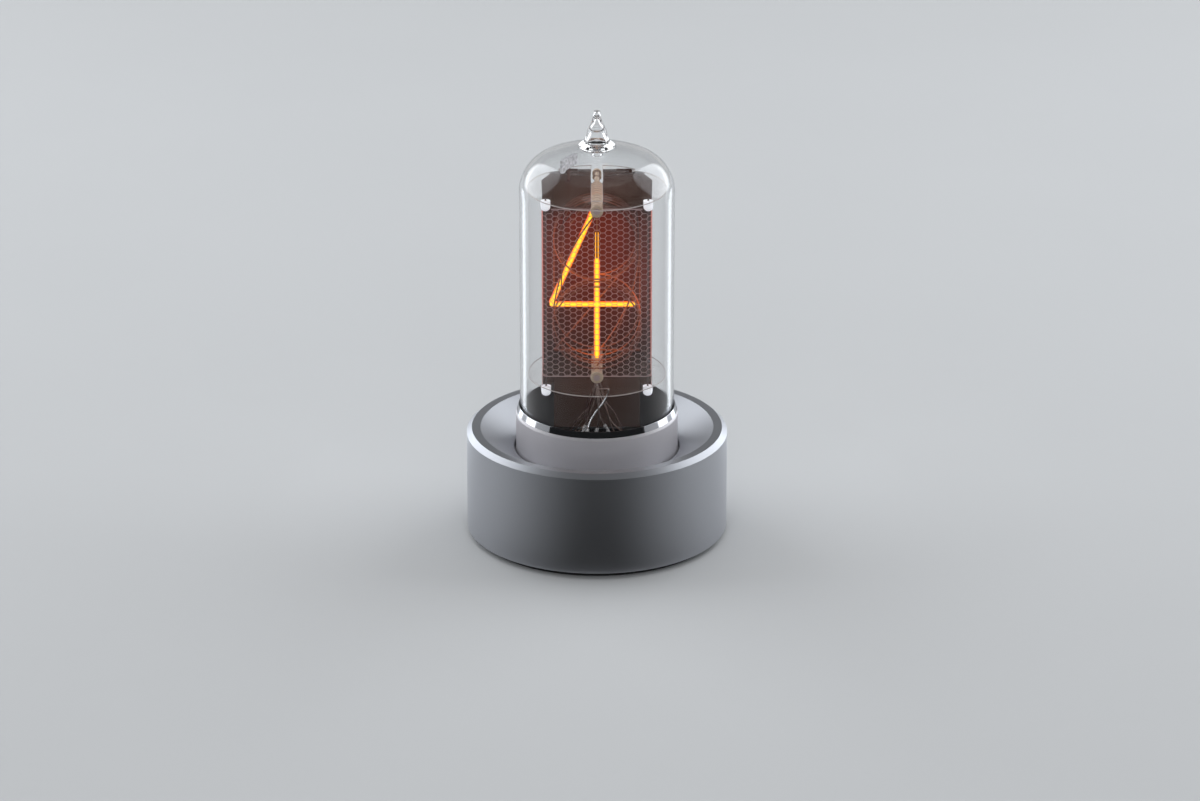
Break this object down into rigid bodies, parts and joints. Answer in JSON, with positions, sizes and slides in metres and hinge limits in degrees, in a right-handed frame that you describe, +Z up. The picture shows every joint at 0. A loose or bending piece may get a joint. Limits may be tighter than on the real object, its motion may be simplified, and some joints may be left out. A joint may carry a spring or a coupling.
{
  "type": "nixie tube clock",
  "caption": "Single-digit nixie tube clock: a large plug-in glass glow tube with stacked numerals standing in a collar on a round turned aluminium base.",
  "frame": {"origin": "centre of the foot ring's lower face, on the table under the tube's axis", "axes": "+Z up along the tube's axis, -Y towards the viewer, +X to the viewer's right; push buttons and power inlet face +Y"},
  "size_m": [0.085, 0.085, 0.1444],
  "materials": {
    "anodised_aluminium": "fine bead-blasted, clear anodised, satin; bright rim chamfer",
    "button_aluminium": "turned, satin",
    "black_rubber": "matt black",
    "brass_parts": "turned",
    "screw_steel": "zinc plated",
    "stamped_steel": "stamped, bright",
    "circuit_board": "solder mask over fibreglass",
    "black_plastic": "moulded, matt",
    "ferrite": "pressed ferrite, matt",
    "capacitor_sleeve": "shrink sleeve",
    "socket_ceramic": "unglazed, off-white",
    "white_plastic": "moulded",
    "clear_glass": "clear blown glass",
    "pin_metal": "plated nickel alloy",
    "lead_metal": "nickel wire, drawn",
    "mica_sheet": "clear mica sheet",
    "anode_metal": "etched nickel alloy sheet, dull",
    "white_glass": "white glass bead",
    "spacer_ceramic": "unglazed, beige",
    "getter_metal": "fired getter strip",
    "cathode_metal": "etched nickel alloy sheet, thin",
    "lit_numeral": "numeral wrapped in orange neon glow"
  },
  "bodies": {
    "base": {"base_shell": "anodised_aluminium", "tube_collar": "anodised_aluminium", "bottom_plate": "anodised_aluminium", "foot_ring": "black_rubber", "collar_gaskets": "black_rubber", "pillars": "brass_parts", "board_spacers": "brass_parts", "socket_contacts": "brass_parts", "plate_screws": "screw_steel", "board_screws": "screw_steel", "socket_screws": "screw_steel", "inlet_shell": "stamped_steel", "clock_crystal": "stamped_steel", "backup_cell": "stamped_steel", "main_board": "circuit_board", "socket_board": "circuit_board", "board_link": "black_plastic", "inlet_tongue": "black_plastic", "hv_switch": "black_plastic", "driver_chips": "black_plastic", "controller_chip": "black_plastic", "cell_holder": "black_plastic", "switch_bodies": "black_plastic", "boost_inductor": "ferrite", "hv_capacitor": "capacitor_sleeve", "socket_body": "socket_ceramic"},
    "tube": {"glass_envelope": "clear_glass", "exhaust_tip": "clear_glass", "glass_foot": "clear_glass", "tube_pins": "pin_metal", "lead_wires": "lead_metal", "top_mica": "mica_sheet", "bottom_mica": "mica_sheet", "anode_mesh": "anode_metal", "anode_back": "anode_metal", "corner_posts": "anode_metal", "post_beads": "white_glass", "upper_rod": "anode_metal", "lower_rod": "anode_metal", "upper_spacers": "spacer_ceramic", "lower_spacers": "spacer_ceramic", "rear_bushes": "spacer_ceramic", "getter_bracket": "getter_metal", "getter_channel": "getter_metal", "cathode_0": "cathode_metal", "cathode_1": "cathode_metal", "cathode_2": "cathode_metal", "cathode_3": "cathode_metal", "cathode_4": "lit_numeral", "cathode_5": "cathode_metal", "cathode_6": "cathode_metal", "cathode_7": "cathode_metal", "cathode_8": "cathode_metal", "cathode_9": "cathode_metal"},
    "set_button": {"set_button_cap": "button_aluminium", "set_switch_plunger": "white_plastic"},
    "mode_button": {"mode_button_cap": "button_aluminium", "mode_switch_plunger": "white_plastic"}
  },
  "joints": [
    {"name": "tube_lift", "type": "slide", "parent": "base", "child": "tube", "axis": [0, 0, 1], "range_m": [0, 0.04]},
    {"name": "set_button_press", "type": "slide", "parent": "base", "child": "set_button", "axis": [0.4695, -0.8829, 0], "range_m": [0, 0.0005], "stiffness_N_per_m": 2000},
    {"name": "mode_button_press", "type": "slide", "parent": "base", "child": "mode_button", "axis": [-0.4695, -0.8829, 0], "range_m": [0, 0.0005], "stiffness_N_per_m": 2000}
  ]
}
